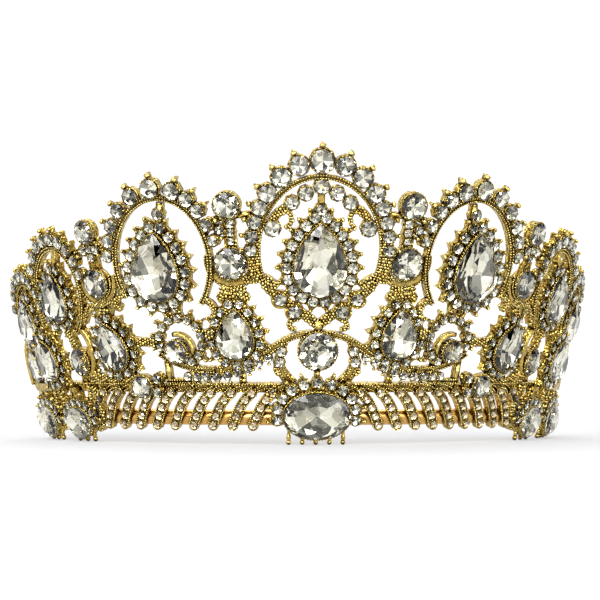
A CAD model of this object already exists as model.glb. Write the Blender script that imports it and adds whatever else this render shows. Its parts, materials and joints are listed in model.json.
"""Looks of the bridal crown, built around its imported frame.

Every size is in millimetres and turns into metres where a mesh is made. A casting of the crown lies flat
against the leaning wall: its own x goes round the ring, away from the front, its y goes up the slope, and
its z points outwards. The right half is described, and the left half mirrors it.
"""

from __future__ import annotations

import json
import logging
import math
from contextlib import contextmanager
from dataclasses import dataclass, field
from enum import Enum
from functools import cached_property
from typing import Callable, Iterable, Iterator, Optional, Sequence

import bpy
import numpy as np
from mathutils import Matrix, Vector

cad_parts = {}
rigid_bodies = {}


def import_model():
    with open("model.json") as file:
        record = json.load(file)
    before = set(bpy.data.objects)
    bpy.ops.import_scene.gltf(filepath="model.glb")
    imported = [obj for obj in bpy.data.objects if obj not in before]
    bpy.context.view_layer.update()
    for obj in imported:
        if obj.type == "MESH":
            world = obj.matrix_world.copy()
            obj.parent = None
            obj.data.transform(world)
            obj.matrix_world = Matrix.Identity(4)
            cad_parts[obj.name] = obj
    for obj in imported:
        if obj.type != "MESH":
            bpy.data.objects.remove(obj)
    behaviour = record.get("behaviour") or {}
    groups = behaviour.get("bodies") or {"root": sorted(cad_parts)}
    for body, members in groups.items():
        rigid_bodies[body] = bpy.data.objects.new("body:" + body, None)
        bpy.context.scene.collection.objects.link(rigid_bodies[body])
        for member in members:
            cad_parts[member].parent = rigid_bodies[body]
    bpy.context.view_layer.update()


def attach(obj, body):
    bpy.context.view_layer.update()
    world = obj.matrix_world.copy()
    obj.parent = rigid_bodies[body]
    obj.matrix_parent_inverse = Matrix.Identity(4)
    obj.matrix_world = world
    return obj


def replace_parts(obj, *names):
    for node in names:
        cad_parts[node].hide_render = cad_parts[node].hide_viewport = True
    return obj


LOG = logging.getLogger("crown")
MM = 0.001

# The ring's middle lies behind the origin. PLATE_TOP is the outer face of a casting's plate, LIFT is how
# far the castings in front of the tube stand out, and GAP lies between a plate and a small stone. SPREAD
# is how much wider a cut stone is than its node's solid, so that it reaches its rim.
SETBACK = 52.7
PLATE_TOP = 0.8
LIFT = 2.0
GAP = 0.12
SPREAD = 0.7

# The slots of the golds on a piece of metal
CAST, BEAD, SMOOTH = range(3)

# The heights of the domes on strips, as parts of their widths
HIGH_DOME, LOW_DOME = 0.3, 0.07


class Half(Enum):
    """The halves of the crown, with the sign of x on each."""

    LEFT = -1
    RIGHT = 1


class Cut(Enum):
    """The outlines that the stones are cut to."""

    ROUND = "round"
    OVAL = "oval"
    PEAR = "pear"


class Work(Enum):
    """How the face of a strip of metal is worked."""

    PLAIN = "plain"
    BEADED = "beaded"
    GRAINED = "grained"


# Shader arithmetic


class Socket:
    """A shader value that takes part in Python arithmetic."""

    def __init__(self, graph: "Graph", link: bpy.types.NodeSocket) -> None:
        """Keeps the node tree and the output socket."""
        self.graph = graph
        self.link = link

    def _math(self, operation: str, first: object, second: object) -> "Socket":
        """One Math node.

        Args:
            operation: The node's operation.
            first: The first number or socket.
            second: The second number or socket.

        Returns:
            The node's output.
        """
        return self.graph.node("ShaderNodeMath", {"operation": operation}, {0: first, 1: second})

    def __add__(self, other: object) -> "Socket":
        """self + other."""
        return self._math("ADD", self, other)

    __radd__ = __add__

    def __sub__(self, other: object) -> "Socket":
        """self - other."""
        return self._math("SUBTRACT", self, other)

    def __rsub__(self, other: object) -> "Socket":
        """other - self."""
        return self._math("SUBTRACT", other, self)

    def __mul__(self, other: object) -> "Socket":
        """self * other."""
        return self._math("MULTIPLY", self, other)

    __rmul__ = __mul__

    def __pow__(self, other: object) -> "Socket":
        """self to the power of other. A square is made as a product.

        Args:
            other: The number or socket.

        Returns:
            The power.
        """
        if other == 2.0:
            return self * self
        return self._math("POWER", self, other)

    def clamped(self, low: float, high: float) -> "Socket":
        """The value spread from low..high to 0..1, and held there."""
        return self.graph.node("ShaderNodeMapRange", {"clamp": True}, {0: self, 1: low, 2: high})


class Graph:
    """The node tree of one material, or of the world."""

    def __init__(self, owner: bpy.types.ID, output: str = "ShaderNodeOutputMaterial") -> None:
        """Empties the owner's tree and adds its output node.

        Args:
            owner: The material or world.
            output: The type of its output node.
        """
        self.owner = owner
        owner.use_nodes = True
        self.tree = owner.node_tree
        self.tree.nodes.clear()
        self.output = self.tree.nodes.new(output)

    @classmethod
    def of_material(cls, name: str) -> "Graph":
        """Starts a new material."""
        return cls(bpy.data.materials.new(name))

    def node(self, kind: str, settings: dict, sockets: dict, out: object = 0) -> Socket:
        """Adds a node.

        Args:
            kind: The node's type.
            settings: The node's own settings, set first.
            sockets: Values or links for its inputs, by name or number.
            out: The name or number of the output that is returned.

        Returns:
            That output.
        """
        node = self.tree.nodes.new(kind)
        for key, value in settings.items():
            setattr(node, key, value)
        for key, value in sockets.items():
            if isinstance(value, Socket):
                self.tree.links.new(value.link, node.inputs[key])
            else:
                node.inputs[key].default_value = value
        return Socket(self, node.outputs[out])

    def place(self) -> Socket:
        """The point of the surface in the object's own space."""
        return self.node("ShaderNodeTexCoord", {}, {}, "Object")

    def axis(self, number: int, point: Optional[Socket] = None) -> Socket:
        """One coordinate of a point, or of the surface's own place."""
        return self.node("ShaderNodeSeparateXYZ", {}, {0: point or self.place()}, number)

    def noise(self, scale: float, detail: float) -> Socket:
        """A noise value at a scale given per metre."""
        sockets = {"Vector": self.place(), "Scale": scale, "Detail": detail}
        return self.node("ShaderNodeTexNoise", {}, sockets, "Fac")

    def cells(self, scale: float, out: str = "Distance") -> Socket:
        """Rounded cells at a scale given per metre."""
        return self.node("ShaderNodeTexVoronoi", {}, {"Vector": self.place(), "Scale": scale}, out)

    def blend(self, amount: object, low: object, high: object) -> Socket:
        """A colour between low and high.

        Args:
            amount: How much there is of high.
            low: The colour at 0.
            high: The colour at 1.

        Returns:
            The mixed colour.
        """
        rows = {0: amount}
        for key, colour in ((6, low), (7, high)):
            rows[key] = colour if isinstance(colour, Socket) else (*colour, 1.0)
        return self.node("ShaderNodeMix", {"data_type": "RGBA"}, rows, 2)

    def finish(self, shader: Socket) -> bpy.types.ID:
        """Links the shader to the output and returns the tree's owner."""
        self.tree.links.new(shader.link, self.output.inputs["Surface"])
        return self.owner


@dataclass(frozen=True)
class Finish:
    """A named finish. Each kind says what its shader's sockets take."""

    name: str

    def sockets(self, graph: Graph) -> dict:
        """The values and links of the shader's sockets."""
        raise NotImplementedError

    def material(self) -> bpy.types.Material:
        """Builds the finish."""
        graph = Graph.of_material(self.name)
        return graph.finish(graph.node("ShaderNodeBsdfPrincipled", {}, self.sockets(graph)))


@dataclass(frozen=True)
class GoldPlate(Finish):
    """Gold plating over cast metal: bright on its high places, brown in its corners.

    Depths are in metres, and scales are per metre. warm_part is the most that the warm tone takes in its
    patches, and hollow_part how far the dents between the grains darken. Where a tube is given, as its
    ring's radius, height and thickness, the surface there is smoother and more orange.
    """

    bright: tuple = (0.8, 0.62, 0.16)
    warm: tuple = (0.6, 0.33, 0.035)
    copper: tuple = (0.7, 0.4, 0.11)
    deep: tuple = (0.05, 0.03, 0.005)
    roughness: float = 0.08
    patch_roughness: float = 0.1
    tube_roughness: float = 0.12
    grain: float = 1000.0
    grain_depth: float = 0.0005
    patch: float = 300.0
    warm_part: float = 0.6
    hollow_part: float = 0.5
    corner: float = 0.0009
    tube: Optional[tuple] = None

    def sockets(self, graph: Graph) -> dict:
        """The values and links of the shader's sockets.

        Args:
            graph: The finish's node tree.

        Returns:
            What each socket takes, by the socket's name.
        """
        shade = graph.node("ShaderNodeAmbientOcclusion", {"samples": 6}, {"Distance": self.corner}, "AO")
        patches = graph.noise(self.patch, 3.0).clamped(0.35, 0.65)
        tone = graph.blend(self.warm_part * patches, self.bright, self.warm)
        grain = graph.cells(self.grain) + 0.2 * graph.noise(self.grain * 1.5, 1.0)
        cast = 1.0
        if self.tube:
            cast = 1.0 - self._on_tube(graph)
            tone = graph.blend(1.0 - cast, tone, self.copper)
        hollow = (1.0 - grain.clamped(0.75, 0.3)) * cast
        worn = shade.clamped(0.5, 1.0) * (1.0 - self.hollow_part * hollow)
        dents = {"Strength": 1.0, "Distance": self.grain_depth, "Height": grain * cast}
        rough = self.roughness + self.patch_roughness * patches + self.tube_roughness * (1.0 - cast)
        return {
            "Base Color": graph.blend(worn, self.deep, tone),
            "Metallic": 1.0,
            "Roughness": rough,
            "Normal": graph.node("ShaderNodeBump", {"invert": True}, dents),
        }

    def _on_tube(self, graph: Graph) -> Socket:
        """One on the base tube, and nought elsewhere.

        Args:
            graph: The finish's node tree.

        Returns:
            The mask.
        """
        ring, height, thick = self.tube
        x, y, z = (graph.axis(i) for i in range(3))
        radius = (x**2.0 + (y - SETBACK * MM) ** 2.0) ** 0.5
        away = ((radius - ring) ** 2.0 + (z - height) ** 2.0) ** 0.5
        return 1.0 - away.clamped(thick * 1.03, thick * 1.1)


BEAD_GOLD = GoldPlate("bead_gold", (0.95, 0.77, 0.26), (0.8, 0.48, 0.07), grain_depth=0.0001)
SMOOTH_GOLD = GoldPlate(
    "smooth_gold", (0.88, 0.68, 0.2), (0.74, 0.44, 0.07), roughness=0.1, grain_depth=0.00015
)


@dataclass(frozen=True)
class CrystalGlass(Finish):
    """Clear lead crystal, as the faces above a stone's girdle."""

    tint: tuple = (0.98, 0.975, 0.89)
    index: float = 1.56

    def sockets(self, graph: Graph) -> dict:
        """The values and links of the shader's sockets.

        Args:
            graph: The finish's node tree.

        Returns:
            What each socket takes, by the socket's name.
        """
        return {
            "Base Color": (*self.tint, 1.0),
            "Roughness": 0.004 + 0.012 * graph.noise(90.0, 1.0),
            "IOR": self.index,
            "Transmission Weight": 1.0,
        }


@dataclass(frozen=True)
class StoneFoil(Finish):
    """The silvered foil behind a stone's lower facets, bright or dull in cells, which are given per metre."""

    bright: tuple = (1.0, 0.98, 0.9)
    dull: tuple = (0.5, 0.48, 0.4)
    cell: float = 420.0

    def sockets(self, graph: Graph) -> dict:
        """The values and links of the shader's sockets.

        Args:
            graph: The finish's node tree.

        Returns:
            What each socket takes, by the socket's name.
        """
        amount = graph.node("ShaderNodeSeparateColor", {}, {"Color": graph.cells(self.cell, "Color")}, 0)
        colour = graph.blend(amount.clamped(0.05, 0.6), self.dull, self.bright)
        return {"Base Color": colour, "Metallic": 1.0, "Roughness": 0.03}


@dataclass(frozen=True)
class StudioPaper(Finish):
    """The white paper that the crown stands on, carried up behind it and lit from behind there.

    It glows by near up to the distance back_from along the paper, and by far past back_to.
    """

    white: tuple = (0.36, 0.36, 0.365)
    near: float = 0.3
    far: float = 0.8
    back_from: float = 2.0
    back_to: float = 3.2

    def sockets(self, graph: Graph) -> dict:
        """The values and links of the shader's sockets.

        Args:
            graph: The finish's node tree.

        Returns:
            What each socket takes, by the socket's name.
        """
        back = graph.axis(1).clamped(self.back_from, self.back_to)
        return {
            "Base Color": (*self.white, 1.0),
            "Roughness": 0.9,
            "Emission Color": graph.blend(back, (self.near,) * 3, (self.far,) * 3),
            "Emission Strength": 1.0,
        }


# Places on the crown


@dataclass(frozen=True)
class Wall:
    """The leaning wall that the castings lie against."""

    ring_r: float = 70.0
    lean: float = 15.7

    def place(self, angle: float, x: float, y: float, z: float, turn: float = 0.0) -> np.ndarray:
        """A place on the wall.

        Args:
            angle: Degrees round the ring from the front.
            x: Distance round the ring from that angle.
            y: Distance up the slope.
            z: Distance outwards.
            turn: Degrees anticlockwise about the way outwards.

        Returns:
            A 4 by 4 matrix in millimetres.
        """
        matrix = (
            Matrix.Translation((0.0, SETBACK, 0.0))
            @ Matrix.Rotation(math.radians(angle), 4, "Z")
            @ Matrix.Translation((0.0, -self.ring_r, 0.0))
            @ Matrix.Rotation(math.radians(90.0 + self.lean), 4, "X")
            @ Matrix.Translation((x, y, z))
            @ Matrix.Rotation(math.radians(turn), 4, "Z")
        )
        return np.array(matrix)


WALL = Wall()


@dataclass(frozen=True)
class Seat:
    """A small stone's place: its middle, its width, and the way out of it, clockwise from up.

    reach is how far its prong stands out beyond its edge.
    """

    x: float
    y: float
    w: float
    out: Optional[float] = None
    reach: float = 1.62

    @property
    def girdle(self) -> float:
        """Height of the stone's girdle over the plate."""
        return GAP + 0.16 * self.w


@dataclass(frozen=True)
class Oval:
    """An oval on a casting, with its tilt in degrees anticlockwise."""

    x: float
    y: float
    a: float
    b: float
    tilt: float = 0.0

    def point(self, t: float) -> np.ndarray:
        """The point at t degrees clockwise from the top."""
        r = math.radians(t)
        return turned((self.a * math.sin(r), self.b * math.cos(r)), self.tilt) + (self.x, self.y)

    def way_out(self, t: float) -> float:
        """The way out of the oval there, in degrees clockwise from up."""
        r = math.radians(t)
        return math.degrees(math.atan2(math.sin(r) / self.a, math.cos(r) / self.b)) - self.tilt

    def arc(self, start: float, end: float, n: int) -> np.ndarray:
        """Points along the oval from one angle to another."""
        return np.array([self.point(start + (end - start) * i / n) for i in range(n + 1)])

    def seats(self, rows: Sequence[tuple]) -> list[Seat]:
        """Seats on the oval from rows of angle and width."""
        return [Seat(*self.point(t), w, self.way_out(t)) for t, w in rows]


def turned(p: Sequence[float], degrees: float) -> np.ndarray:
    """The point p turned anticlockwise about the origin."""
    r = math.radians(degrees)
    return np.array([p[0] * math.cos(r) - p[1] * math.sin(r), p[0] * math.sin(r) + p[1] * math.cos(r)])


def bezier(*points: Sequence[float]) -> np.ndarray:
    """Thirteen points along a cubic curve with four control points.

    Args:
        points: The control points.

    Returns:
        The points of the curve.
    """
    a, b, c, d = (np.array(p, float) for p in points)
    t = np.linspace(0.0, 1.0, 13)[:, None]
    u = 1.0 - t
    return u**3 * a + 3 * u * u * t * b + 3 * u * t * t * c + t**3 * d


def stone_outline(cut: Cut, w: float, h: float, n: int = 48) -> np.ndarray:
    """A stone's outline, clockwise from its top.

    Args:
        cut: The kind of outline.
        w: The stone's width.
        h: Its height.
        n: How many points it has.

    Returns:
        The outline's points.
    """
    a = np.arange(n) * 2.0 * math.pi / n
    x = w / 2 * np.sin(a)
    if cut is Cut.PEAR:
        x = x / 0.8215 * np.abs(np.sin(a / 2)) ** 0.7
    return np.stack([x, h / 2 * np.cos(a)], axis=1)


def grown(outline: np.ndarray, by: float) -> np.ndarray:
    """An outline moved out along its normals.

    Args:
        outline: The outline's points.
        by: How far they move.

    Returns:
        The new points.
    """
    d = np.roll(outline, -1, axis=0) - np.roll(outline, 1, axis=0)
    normal = np.stack([-d[:, 1], d[:, 0]], axis=1)
    return outline + by * normal / np.linalg.norm(normal, axis=1)[:, None]


def looped(outline: np.ndarray) -> np.ndarray:
    """An outline as a path that comes back to its start."""
    return np.vstack([outline, outline[:1]])


def holds(outline: np.ndarray, p: Sequence[float]) -> bool:
    """Whether a closed outline has the point p inside it.

    Args:
        outline: The outline's points.
        p: The point.

    Returns:
        Whether it lies inside.
    """
    a, b = outline, np.roll(outline, -1, axis=0)
    spans = (a[:, 1] > p[1]) != (b[:, 1] > p[1])
    a, b = a[spans], b[spans]
    crossing = a[:, 0] + (p[1] - a[:, 1]) * (b[:, 0] - a[:, 0]) / (b[:, 1] - a[:, 1])
    return int((crossing > p[0]).sum()) % 2 == 1


def path_length(path: np.ndarray) -> float:
    """The length of a path."""
    return float(np.cumsum(np.linalg.norm(np.diff(path, axis=0), axis=1))[-1])


def spots_at(path: np.ndarray, runs: Iterable[float]) -> list[tuple[np.ndarray, np.ndarray]]:
    """Points along a path.

    Args:
        path: The path's points.
        runs: The distance of each point along the path.

    Returns:
        Each point with the unit way along the path.
    """
    step = np.diff(path, axis=0)
    length = np.linalg.norm(step, axis=1)
    run = np.concatenate([[0.0], np.cumsum(length)])
    found = []
    for s in runs:
        k = min(int(np.searchsorted(run, s, side="right")) - 1, len(step) - 1)
        way = step[k] / length[k]
        found.append((path[k] + way * (s - run[k]), way))
    return found


def walk(path: np.ndarray, pitch: float, start: float = 0.0) -> list[tuple[np.ndarray, np.ndarray]]:
    """Evenly spaced points along a path.

    Args:
        path: The path's points.
        pitch: The distance wanted from one to the next. It is stretched to fit.
        start: The distance left free at both ends.

    Returns:
        Each point with the unit way along the path.
    """
    total = path_length(path)
    n = max(1, round((total - 2 * start) / pitch))
    return spots_at(path, np.linspace(start, total - start, n + 1))


def beside(path: np.ndarray, out: float, pitch: float) -> list[np.ndarray]:
    """Evenly spaced points at the distance out from a path, first on its one side and then on the other."""
    spots = walk(path, pitch)
    return [p + side * out * np.array([-way[1], way[0]]) for side in (-1.0, 1.0) for p, way in spots]


@dataclass(frozen=True)
class MainStone:
    """A main stone: its place, size and tilt, and the stones of its halo.

    halo_field names the field of the record that the halo belongs to, if it has one.
    """

    name: str
    cut: Cut
    x: float
    y: float
    w: float
    h: float
    tilt: float = 0.0
    halo_n: int = 0
    halo_w: float = 0.0
    halo_out: float = 2.0
    halo_field: str = ""

    @property
    def girdle(self) -> float:
        """Height of the girdle above the middle of the casting's plate."""
        return 1.0 + 0.09 * min(self.w, self.h)

    def outline(self, by: float) -> np.ndarray:
        """Its outline on the casting, grown by a distance."""
        own = grown(stone_outline(self.cut, self.w, self.h), by)
        return np.array([turned(p, self.tilt) + (self.x, self.y) for p in own])

    def halo(self) -> list[Seat]:
        """The seats of its halo, evenly spaced round it.

        Returns:
            The seats, clockwise from the top.
        """
        ring = looped(self.outline(self.halo_out))
        runs = [path_length(ring) * (i + 0.5) / self.halo_n for i in range(self.halo_n)]
        spots = spots_at(ring, runs)
        return [Seat(*p, self.halo_w, math.degrees(math.atan2(-way[1], way[0]))) for p, way in spots]


@dataclass(frozen=True)
class Strip:
    """A strip of metal along a path, with its width at both ends and how its face is worked."""

    path: np.ndarray
    w: float
    w_end: float
    work: Work = Work.GRAINED

    @classmethod
    def curved(cls, points: Sequence, w: float, w_end: float = 0.0, work: Work = Work.GRAINED) -> "Strip":
        """A strip along a cubic curve."""
        return cls(bezier(*points), w, w_end or w, work)

    @classmethod
    def straight(cls, a: Sequence, b: Sequence, w: float, work: Work = Work.PLAIN) -> "Strip":
        """A straight strip."""
        return cls(np.array([a, b], float), w, w, work)


# Masters, and pieces stamped from them


@dataclass
class Master:
    """A mesh that was modelled once, in millimetres, ready to be copied."""

    points: np.ndarray
    faces: list[tuple[int, ...]]
    slots: list[int]

    @classmethod
    def taken(cls, obj: bpy.types.Object, slot: int = 0) -> "Master":
        """Reads an object's mesh and removes the object.

        Args:
            obj: The object.
            slot: A number that is added to the slot of each face.

        Returns:
            The mesh's points, faces and slots.
        """
        mesh = obj.data
        points = np.empty(len(mesh.vertices) * 3)
        mesh.vertices.foreach_get("co", points)
        faces = [tuple(p.vertices) for p in mesh.polygons]
        slots = [p.material_index + slot for p in mesh.polygons]
        bpy.data.objects.remove(obj)
        bpy.data.meshes.remove(mesh)
        return cls(points.reshape(-1, 3), faces, slots)


@dataclass
class Piece:
    """A piece that gathers copies of masters on one half of the crown and becomes one object."""

    name: str
    smooth: bool
    half: Half = Half.RIGHT
    points: list[np.ndarray] = field(default_factory=list)
    faces: list[tuple[int, ...]] = field(default_factory=list)
    slots: list[int] = field(default_factory=list)
    count: int = 0

    def add(self, master: Master, matrix: np.ndarray) -> None:
        """Adds one copy.

        Args:
            master: The mesh to copy.
            matrix: Its place on the right half, in millimetres.
        """
        points = master.points @ matrix[:3, :3].T + matrix[:3, 3]
        self.points.append(points * (self.half.value, 1.0, 1.0))
        way = self.half.value
        self.faces.extend(tuple(self.count + i for i in face[::way]) for face in master.faces)
        self.slots.extend(master.slots)
        self.count += len(points)

    def made(self, slot: str, materials: Sequence[bpy.types.Material]) -> bpy.types.Object:
        """Makes the object.

        Args:
            slot: The record's material slot.
            materials: The finishes, in the order of the masters' slots.

        Returns:
            The object, riding on the crown.
        """
        mesh = bpy.data.meshes.new(self.name)
        mesh.from_pydata((np.vstack(self.points) * MM).tolist(), [], self.faces)
        for material in materials:
            mesh.materials.append(material)
        mesh.polygons.foreach_set("material_index", self.slots)
        mesh.polygons.foreach_set("use_smooth", [self.smooth] * len(self.faces))
        mesh.validate()
        mesh.update()
        obj = bpy.data.objects.new(self.name, mesh)
        bpy.context.scene.collection.objects.link(obj)
        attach(obj, "root")
        LOG.info("%s: %d faces", self.name, len(self.faces))
        return obj


def only(obj: bpy.types.Object) -> None:
    """Selects one object alone and makes it active.

    Args:
        obj: The object.
    """
    bpy.ops.object.select_all(action="DESELECT")
    obj.select_set(True)
    bpy.context.view_layer.objects.active = obj


@contextmanager
def editing(obj: bpy.types.Object) -> Iterator[None]:
    """Keeps an object's mesh in edit mode while a block of code runs.

    Args:
        obj: The object.

    Returns:
        What a with statement takes.
    """
    only(obj)
    bpy.ops.object.mode_set(mode="EDIT")
    yield
    bpy.ops.object.mode_set(mode="OBJECT")


def pick(obj: bpy.types.Object, kind: str, chosen: Callable) -> None:
    """Selects the faces or the edges of a mesh that are chosen, and no others.

    Args:
        obj: The object.
        kind: FACE or EDGE.
        chosen: A test of one face or edge.
    """
    with editing(obj):
        bpy.ops.mesh.select_mode(type=kind)
        bpy.ops.mesh.select_all(action="DESELECT")
    for part in obj.data.polygons if kind == "FACE" else obj.data.edges:
        part.select = chosen(part)


@dataclass(frozen=True)
class Facet:
    """A flat face of a stone: the way that it faces, its slope, and a point that it passes through."""

    azimuth: float
    slope: float
    reach: float
    z: float


class Lapidary:
    """Cuts stones of unit half width, one plane at a time.

    depth and low_depth are how far a lower facet falls to the middle. star_part is a star facet's slope as
    a part of a main one's. The facets along the girdle are steeper than their neighbours by the degrees in
    upper_more and lower_more, and pass at upper_reach and lower_reach. step is a sixteenth of a turn, and
    the names with dark have the ways, in such steps, that the darker of a stone's lower facets face: few
    on a pear, a bow across an oval, and more on a round or a small stone.
    """

    girdle: float = 0.06
    table: float = 0.38
    table_r: float = 0.56
    depth: float = 0.35
    low_depth: float = 0.26
    step: float = 22.5
    star_part: float = 0.66
    upper_more: float = 5.0
    upper_reach: float = 0.985
    lower_more: float = 8.0
    lower_reach: float = 0.97
    pear_dark: tuple = (3, 11, 14)
    oval_dark: tuple = (0, 7, 9)
    round_dark: tuple = (1, 4, 7, 11, 14)
    small_dark: tuple = (1, 3, 7, 11)

    def _blank(self, outline: np.ndarray) -> bpy.types.Object:
        """A prism with the stone's outline, from above its table to below its culet.

        Args:
            outline: The girdle's outline.

        Returns:
            The blank.
        """
        bpy.ops.object.select_all(action="DESELECT")
        bpy.ops.mesh.primitive_cylinder_add(vertices=len(outline), radius=1.0, depth=2.0)
        blank = bpy.context.object
        for vertex in blank.data.vertices:
            turn = math.atan2(vertex.co.x, vertex.co.y) / (2 * math.pi)
            x, y = outline[round(turn * len(outline)) % len(outline)]
            vertex.co = (x, y, self.table if vertex.co.z > 0 else -1.0)
        return blank

    def cut(self, outline: np.ndarray, facets: Iterable[Facet], dark: Sequence[int]) -> Master:
        """Cuts a blank.

        Args:
            outline: The girdle's outline.
            facets: The planes to cut along. A negative slope faces down.
            dark: The ways that the darker lower facets face.

        Returns:
            The stone. Its lower facets have slots 1 and 2.
        """
        blank = self._blank(outline)
        with editing(blank):
            for facet in facets:
                a, s = math.radians(facet.azimuth), math.radians(abs(facet.slope))
                way = Vector((math.sin(a), math.cos(a), 0.0))
                normal = way * math.sin(s)
                normal.z = math.copysign(math.cos(s), facet.slope)
                bpy.ops.mesh.select_all(action="SELECT")
                bpy.ops.mesh.bisect(
                    plane_co=way * facet.reach + Vector((0.0, 0.0, facet.z)),
                    plane_no=normal,
                    use_fill=True,
                    clear_outer=True,
                    threshold=0.00001,
                )
        for face in blank.data.polygons:
            way = round(math.degrees(math.atan2(face.normal.x, face.normal.y)) / self.step) % 16
            lower = 2 if way in dark else 1
            face.material_index = 0 if face.normal.z > -0.02 else lower
        return Master.taken(blank)

    @staticmethod
    def support(outline: np.ndarray, azimuth: float) -> float:
        """How far an outline reaches in a direction."""
        a = math.radians(azimuth)
        return float((outline @ np.array([math.sin(a), math.cos(a)])).max())

    def brilliant(self, small: bool, depth: float, dark: Sequence[int]) -> Master:
        """A round brilliant.

        Args:
            small: Whether it is a small one, which has fewer facets.
            depth: How far its lower facets fall to the middle.
            dark: The ways that the darker lower facets face.

        Returns:
            The stone, as wide as 2.
        """
        n = 16 if small else 32
        outline = stone_outline(Cut.ROUND, 2.0, 2.0, n)
        slope = math.degrees(math.atan((self.table - self.girdle) / (1.0 - self.table_r)))
        star_reach = self.table_r * math.cos(math.radians(self.step))
        low = math.degrees(math.atan(depth))
        facets = []
        for i in range(8):
            facets.append(Facet(45.0 * i, slope, 1.0, self.girdle))
            facets.append(Facet(45.0 * i + self.step, self.star_part * slope, star_reach, self.table))
        for i in range(8 if small else 16):
            turn = 45.0 * i + self.step if small else self.step * (i + 0.5)
            facets.append(Facet(turn, slope + self.upper_more, self.upper_reach, self.girdle))
        facets += [Facet(45.0 * i + self.step, -low, 1.0, 0.0) for i in range(8)]
        if not small:
            low += self.lower_more
            facets += [Facet(45.0 * i, -low, self.lower_reach, 0.0) for i in range(8)]
        return self.cut(outline, facets, dark)

    def pear(self) -> Master:
        """A pear with a pointed tip, as wide as 2 and as high as 2.8.

        Returns:
            The stone.
        """
        outline = stone_outline(Cut.PEAR, 2.0, 2.8)
        tiers = (
            (((24, 34), (66, 44), (92, 38), (124, 36), (154, 35), (180, 35)), 1.0, self.girdle),
            (((0, 24), (45, 25)), 0.58, self.table),
            (((79, 27), (108, 25), (139, 24), (167, 24)), 0.66, self.table),
            (((30, -13), (75, -22), (110, -21), (145, -18), (180, -16)), 1.0, 0.0),
        )
        facets = []
        for rows, part, z in tiers:
            for azimuth, slope in rows:
                for side in (-1, 1) if azimuth % 180 else (1,):
                    reach = part * self.support(outline, side * azimuth)
                    facets.append(Facet(side * azimuth, slope, reach, z))
        return self.cut(outline, facets, self.pear_dark)


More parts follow.
